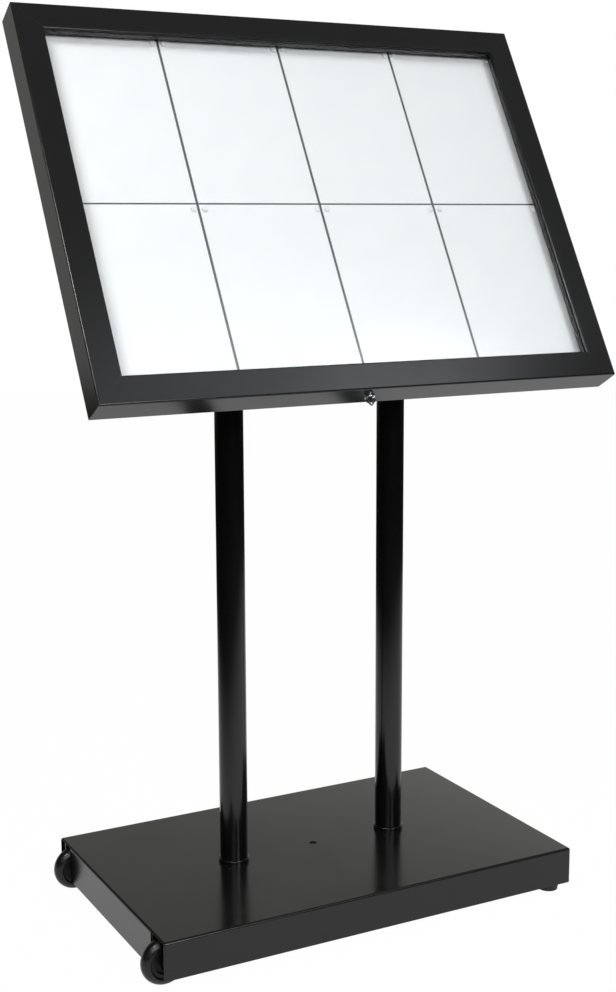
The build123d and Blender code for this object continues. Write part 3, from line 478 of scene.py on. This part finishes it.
@dataclass(frozen=True)
class Softbox:
    """A studio lamp with an even middle and a soft edge.

    Attributes:
        name: Name of the lamp.
        place: Place of its middle in metres.
        target: Point that it faces.
        size: Width and height of its face in metres.
        power: Power in watts.
        colour: Colour of its light in sRGB hex.
        core: Share of its half width that glows evenly before it fades to the edge.
    """

    name: str
    place: tuple[float, float, float]
    target: tuple[float, float, float]
    size: tuple[float, float]
    power: float
    colour: str
    core: float

    def build(self) -> None:
        """Hang the lamp and aim it."""
        data = bpy.data.lights.new(self.name, "AREA")
        data.shape = "RECTANGLE"
        data.size, data.size_y = self.size
        data.energy = self.power
        data.color = linear(self.colour)[:3]
        data.use_nodes = True
        tree = data.node_tree
        spot = add_node(tree, "ShaderNodeNewGeometry").outputs["Parametric"]
        away = add_node(tree, "ShaderNodeVectorMath", {
            0: spot, 1: (0.5, 0.5, 0.0)}, operation="DISTANCE").outputs["Value"]
        fade = add_node(tree, "ShaderNodeMapRange", {
            "Value": away, "From Min": self.core / 2, "From Max": 0.5,
            "To Min": 1.0, "To Max": 0.0}, interpolation_type="SMOOTHERSTEP")
        tree.links.new(fade.outputs[0], tree.nodes["Emission"].inputs["Strength"])
        lamp = bpy.data.objects.new(self.name, data)
        lamp.location = self.place
        aim = Vector(self.target) - Vector(self.place)
        lamp.rotation_euler = aim.to_track_quat("-Z", "Y").to_euler()
        bpy.context.scene.collection.objects.link(lamp)


@dataclass(frozen=True)
class Studio:
    """A white paper floor in a pale room, lit by five softboxes, with a pool of light
    painted on the floor round the stand.

    Attributes:
        floor_near: Left and front edges of the floor sheet in metres.
        floor_far: Right and back edges of the floor sheet in metres.
        lit_pool_colour: Colour of the floor round the stand, inside the painted pool of light,
            in sRGB hex.
        painted_dark_floor_colour: Colour painted on the floor past that pool of light: painted
            darkness, in sRGB hex.
        lit_pool_middle: Middle of the painted pool of light in metres.
        lit_pool_reach: Distances from that middle over which the painted pool of light fades out,
            in metres.
        paper_roughness: Roughness of the paper.
        shade_reach: Half sizes of the floor under the base that stays in its real shade, in metres.
        shade_core: Share of those half sizes that is wholly in that shade.
        camera_show: How much plain white the floor shows to the camera.
        mirror_show: How much plain white the floor shows in gloss and glass, inside the
        painted pool of light.
        wall_foot: Height of direction from which the back wall's bands slant.
        wall_slant: How far a band moves sideways as it rises.
        wall_span: Slanted positions of the first and the last band.
        wall_tones: Place along that span and the warm and cool light of each band.
        front_span: Heights of direction between which the front wall grows lighter.
        front_tones: Light of the front wall low down and high up.
        wall_turn: Depths of direction between which the front wall becomes the back wall.
        lamps: The softboxes.
    """

    floor_near: tuple[float, float] = (-12.0, -12.0)
    floor_far: tuple[float, float] = (12.0, 8.0)
    lit_pool_colour: str = "f4f4f4"
    painted_dark_floor_colour: str = "303030"
    lit_pool_middle: tuple[float, float] = (0.55, 0.25)
    lit_pool_reach: tuple[float, float] = (1.15, 2.15)
    paper_roughness: float = 0.9
    shade_reach: tuple[float, float] = (0.365, 0.19)
    shade_core: float = 0.9
    camera_show: float = 0.99
    mirror_show: float = 0.59
    wall_foot: float = 0.1
    wall_slant: float = -2.2
    wall_span: tuple[float, float] = (-1.1, 0.25)
    wall_tones: tuple[tuple[float, float, float], ...] = (
        (0.15, 0.06, 0.06), (0.4, 0.45, 0.42), (0.69, 0.37, 0.34), (0.89, 0.88, 0.85),
        (0.96, 1.0, 1.0))
    front_span: tuple[float, float] = (0.2, 0.55)
    front_tones: tuple[tuple[float, float, float, float], ...] = (
        (0.08, 0.08, 0.08, 1.0), (0.30, 0.30, 0.305, 1.0))
    wall_turn: tuple[float, float] = (-0.2, 0.3)
    lamps: tuple[Softbox, ...] = (
        Softbox("key_softbox", place=(-1.5, -2.8, 2.1), target=(0.0, -0.05, 1.2),
                size=(2.6, 1.4), power=63.0, colour="ffffff", core=0.7),
        Softbox("fill_softbox", place=(0.45, -3.2, 1.95), target=(0.3, -0.1, 1.2),
                size=(1.6, 0.9), power=122.0, colour="ffffff", core=0.3),
        Softbox("edge_softbox", place=(-1.69, -1.02, 2.71), target=(-0.455, -0.1, 1.15),
                size=(1.2, 0.3), power=44.0, colour="ffffff", core=0.8),
        Softbox("strip_softbox", place=(0.9, -1.5, 2.6), target=(0.9, -1.5, 0.0),
                size=(2.8, 1.4), power=16.0, colour="f6f9ff", core=0.0),
        Softbox("small_softbox", place=(1.33, -1.5, 2.55), target=(1.33, -1.5, 0.0),
                size=(1.4, 0.8), power=7.2, colour="f4f8ff", core=0.0),
    )

    def build(self) -> None:
        """Make the floor, the room and the lamps."""
        self.floor()
        self.room()
        for lamp in self.lamps:
            lamp.build()

    def floor(self) -> None:
        """Lay the floor sheet, which keeps a faint shadow of the stand."""
        mesh = bpy.data.meshes.new("studio_floor")
        (left, front), (right, back) = self.floor_near, self.floor_far
        corners = [(left, front, 0), (right, front, 0), (right, back, 0), (left, back, 0)]
        mesh.from_pydata(corners, [], [(0, 1, 2, 3)])
        sheet = bpy.data.objects.new("studio_floor", mesh)
        bpy.context.scene.collection.objects.link(sheet)
        mesh.materials.append(self.paper())

    def paper(self) -> bpy.types.Material:
        """Return the floor's paper: plain white to the camera, and shaded under the base.

        Round the stand a pool of light is painted: the floor's colour, and the white that gloss
        and glass see, fade out to painted darkness further away.
        """
        material = bpy.data.materials.new("white_background_paper")
        material.use_nodes = True
        tree = material.node_tree
        shader = tree.nodes["Principled BSDF"]
        shader.inputs["Roughness"].default_value = self.paper_roughness
        place = add_node(tree, "ShaderNodeTexCoord").outputs["Object"]
        # Painted pool of light: white near the stand, painted dark further out, in colour and in
        # gloss.
        away = add_node(tree, "ShaderNodeVectorMath", {
            0: place, 1: (*self.lit_pool_middle, 0.0)}, operation="DISTANCE").outputs["Value"]
        near, far = self.lit_pool_reach
        paper = add_node(tree, "ShaderNodeMapRange", {
            "Value": away, "From Min": near, "From Max": far,
            "To Min": 1.0, "To Max": 0.0}).outputs[0]
        tone = add_node(tree, "ShaderNodeMix", {
            "Factor": paper, 6: linear(self.painted_dark_floor_colour), 7: linear(self.lit_pool_colour)},
            data_type="RGBA")
        tree.links.new(tone.outputs[2], shader.inputs["Base Color"])
        glow = add_node(tree, "ShaderNodeEmission", {"Strength": 1.0})
        path = add_node(tree, "ShaderNodeLightPath").outputs
        mirror = add_node(tree, "ShaderNodeMath", {
            0: path["Is Glossy Ray"], 1: path["Is Transmission Ray"]}, operation="MAXIMUM")
        strong = add_node(tree, "ShaderNodeMath", {
            0: mirror.outputs[0], 1: paper}, operation="MULTIPLY")
        shown = add_node(tree, "ShaderNodeMath", {
            0: strong.outputs[0], 1: self.mirror_show}, operation="MULTIPLY")
        half_x, half_y = self.shade_reach
        inside = add_node(tree, "ShaderNodeVectorMath", {
            0: place, 1: (1.0 / half_x, 1.0 / half_y, 0.0)}, operation="MULTIPLY").outputs[0]
        level = add_node(tree, "ShaderNodeVectorMath", {0: inside}, operation="ABSOLUTE").outputs[0]
        sides = add_node(tree, "ShaderNodeSeparateXYZ", {0: level}).outputs
        nearest = add_node(tree, "ShaderNodeMath", {
            0: sides["X"], 1: sides["Y"]}, operation="MAXIMUM")
        beside = add_node(tree, "ShaderNodeMapRange", {
            "Value": nearest.outputs[0], "From Min": self.shade_core, "From Max": 1.0,
            "To Max": self.camera_show}).outputs[0]
        seen = add_node(tree, "ShaderNodeMath", {
            0: path["Is Camera Ray"], 1: beside}, operation="MULTIPLY")
        share = add_node(tree, "ShaderNodeMath", {
            0: shown.outputs[0], 1: seen.outputs[0]}, operation="MAXIMUM")
        mix = add_node(tree, "ShaderNodeMixShader", {
            0: share.outputs[0], 1: shader.outputs[0], 2: glow.outputs[0]})
        tree.links.new(mix.outputs[0], tree.nodes["Material Output"].inputs["Surface"])
        return material

    def room(self) -> None:
        """Surround the stand with a room: white low at the back right, grey at the front.

        Gloss mirrors that room. To the camera, and through the window, its walls are plain white.
        """
        world = bpy.data.worlds.new("studio_room")
        world.use_nodes = True
        bpy.context.scene.world = world
        tree = world.node_tree
        direction = add_node(tree, "ShaderNodeTexCoord").outputs["Generated"]
        axes = add_node(tree, "ShaderNodeSeparateXYZ", {0: direction}).outputs
        above = add_node(tree, "ShaderNodeMath", {
            0: axes["Z"], 1: self.wall_foot}, operation="SUBTRACT")
        rise = add_node(tree, "ShaderNodeMath", {
            0: above.outputs[0], 1: 0.0}, operation="MAXIMUM")
        slant = add_node(tree, "ShaderNodeMath", {
            0: rise.outputs[0], 1: self.wall_slant, 2: axes["X"]}, operation="MULTIPLY_ADD")
        first, last = self.wall_span
        reach = add_node(tree, "ShaderNodeMapRange", {
            "Value": slant.outputs[0], "From Min": first, "From Max": last})
        wall = add_node(tree, "ShaderNodeValToRGB", {"Fac": reach.outputs[0]})
        while len(wall.color_ramp.elements) < len(self.wall_tones):
            wall.color_ramp.elements.new(0.5)
        for point, (place, warm, cool) in zip(wall.color_ramp.elements, self.wall_tones):
            point.position, point.color = place, (warm, warm, cool, 1.0)
        low, high = self.front_span
        height = add_node(tree, "ShaderNodeMapRange", {
            "Value": axes["Z"], "From Min": low, "From Max": high})
        dim, light = self.front_tones
        front = add_node(tree, "ShaderNodeMix", {
            "Factor": height.outputs[0], 6: dim, 7: light}, data_type="RGBA")
        before, behind = self.wall_turn
        turn = add_node(tree, "ShaderNodeMapRange", {
            "Value": axes["Y"], "From Min": before, "From Max": behind})
        mix = add_node(tree, "ShaderNodeMix", {
            "Factor": turn.outputs[0], 6: front.outputs[2], 7: wall.outputs[0]}, data_type="RGBA")
        path = add_node(tree, "ShaderNodeLightPath").outputs
        straight = add_node(tree, "ShaderNodeMath", {
            0: path["Is Camera Ray"], 1: path["Is Transmission Ray"]}, operation="MAXIMUM")
        shown = add_node(tree, "ShaderNodeMix", {
            "Factor": straight.outputs[0], 6: mix.outputs[2], 7: WHITE}, data_type="RGBA")
        tree.links.new(shown.outputs[2], tree.nodes["Background"].inputs["Color"])


@dataclass(frozen=True)
class Viewpoint:
    """The photograph's camera, found by fitting the object's edges.

    Attributes:
        place: Place of the lens in metres.
        yaw: Turn to the right of straight ahead (+Y), in degrees.
        pitch: Tilt above the horizon, in degrees.
        roll: Turn of the picture, in degrees.
        focal_px: Focal length in pixels of the 992-pixel side.
    """

    place: tuple[float, float, float] = (-1.208295, -2.254546, 1.147888)
    yaw: float = 28.04
    pitch: float = -10.022
    roll: float = -0.215
    focal_px: float = 1550.948

    def build(self) -> None:
        """Make the camera and look through it."""
        yaw, pitch, roll = (math.radians(a) for a in (self.yaw, self.pitch, self.roll))
        ahead = Vector((math.sin(yaw) * math.cos(pitch), math.cos(yaw) * math.cos(pitch),
                        math.sin(pitch)))
        level = Vector((math.cos(yaw), -math.sin(yaw), 0.0))
        rise = level.cross(ahead)
        right = level * math.cos(roll) + rise * math.sin(roll)
        up = rise * math.cos(roll) - level * math.sin(roll)
        data = bpy.data.cameras.new("photograph_view")
        data.sensor_width = SENSOR_MM
        data.sensor_fit = "AUTO"
        data.lens = SENSOR_MM * self.focal_px / IMAGE_HEIGHT
        camera = bpy.data.objects.new("photograph_view", data)
        turn = Matrix((right, up, -ahead)).transposed()
        camera.matrix_world = Matrix.Translation(Vector(self.place)) @ turn.to_4x4()
        bpy.context.scene.collection.objects.link(camera)
        bpy.context.scene.camera = camera


def main() -> None:
    """Load the frame, dress it, and set up the studio and the camera."""
    logging.basicConfig(level=logging.INFO, format="%(name)s: %(message)s")
    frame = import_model()
    bpy.context.scene.view_settings.view_transform = "Standard"
    shop = PaintShop()
    for group in (RollingBase(), PostPair(), PageTray(), WindowLid(), CamLock()):
        group.build(frame, shop)
    Studio().build()
    Viewpoint().build()


if __name__ == "__main__":
    main()
